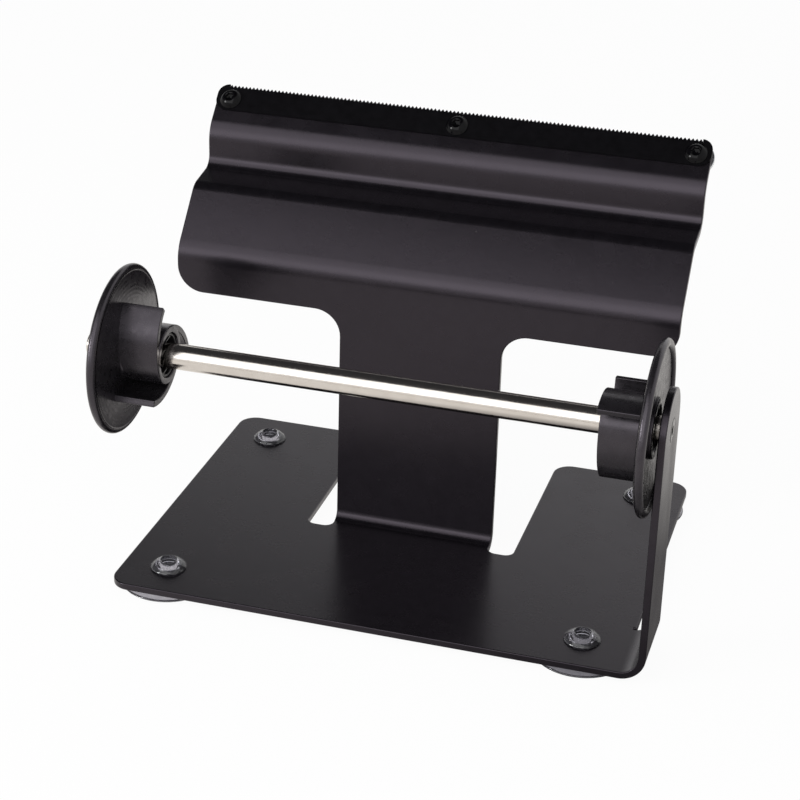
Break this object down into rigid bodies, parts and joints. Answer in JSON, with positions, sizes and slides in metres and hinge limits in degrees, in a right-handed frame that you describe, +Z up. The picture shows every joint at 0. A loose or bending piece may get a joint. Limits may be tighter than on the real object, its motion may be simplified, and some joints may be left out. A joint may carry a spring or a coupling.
{
  "type": "foil dispenser",
  "caption": "Counter-top foil roll dispenser: folded black sheet-steel stand on suction cups, a nickel rod with two spinning roll holders, and a toothed cutter blade along the head panel.",
  "frame": {"origin": "on the counter, under the middle of the whole object's box", "axes": "+X along the rod towards the arm, the user's right; +Y from the user towards the back; +Z up"},
  "size_m": [0.1426, 0.111, 0.1086],
  "materials": {
    "coat": "satin black powder coat on steel sheet",
    "blade": "black oxide, semi-gloss",
    "screw": "black oxide steel",
    "zinc": "bright zinc plate",
    "nickel": "bright nickel plate",
    "bush": "soft black plastic",
    "moulded": "moulded black plastic, fine sheen",
    "clear_vinyl": "clear soft vinyl"
  },
  "bodies": {
    "stand": {"stand": "coat", "cutter_blade": "blade", "blade_screw_left": "screw", "blade_screw_middle": "screw", "blade_screw_right": "screw", "blade_washer_left": "zinc", "blade_washer_middle": "zinc", "blade_washer_right": "zinc", "blade_nut_left": "zinc", "blade_nut_middle": "zinc", "blade_nut_right": "zinc", "roll_rod": "nickel", "rod_screw": "screw", "suction_cup_front_left": "clear_vinyl", "suction_cup_front_right": "clear_vinyl", "suction_cup_rear_left": "clear_vinyl", "suction_cup_rear_right": "clear_vinyl"},
    "left_bush": {"left_grip_bush": "bush"},
    "left_holder": {"left_roll_holder": "moulded"},
    "right_bush": {"right_grip_bush": "bush"},
    "right_holder": {"right_roll_holder": "moulded"}
  },
  "joints": [
    {"name": "left_slide", "type": "slide", "parent": "stand", "child": "left_bush", "axis": [1, 0, 0], "range_m": [-0.04, 0.045]},
    {"name": "left_spin", "type": "hinge", "parent": "left_bush", "child": "left_holder", "pos_m": [-0.0564, -0.03475, 0.0634], "axis": [1, 0, 0], "continuous": true},
    {"name": "right_slide", "type": "slide", "parent": "stand", "child": "right_bush", "axis": [1, 0, 0], "range_m": [-0.045, 0.0008]},
    {"name": "right_spin", "type": "hinge", "parent": "right_bush", "child": "right_holder", "pos_m": [0.0611, -0.03475, 0.0634], "axis": [1, 0, 0], "continuous": true}
  ]
}
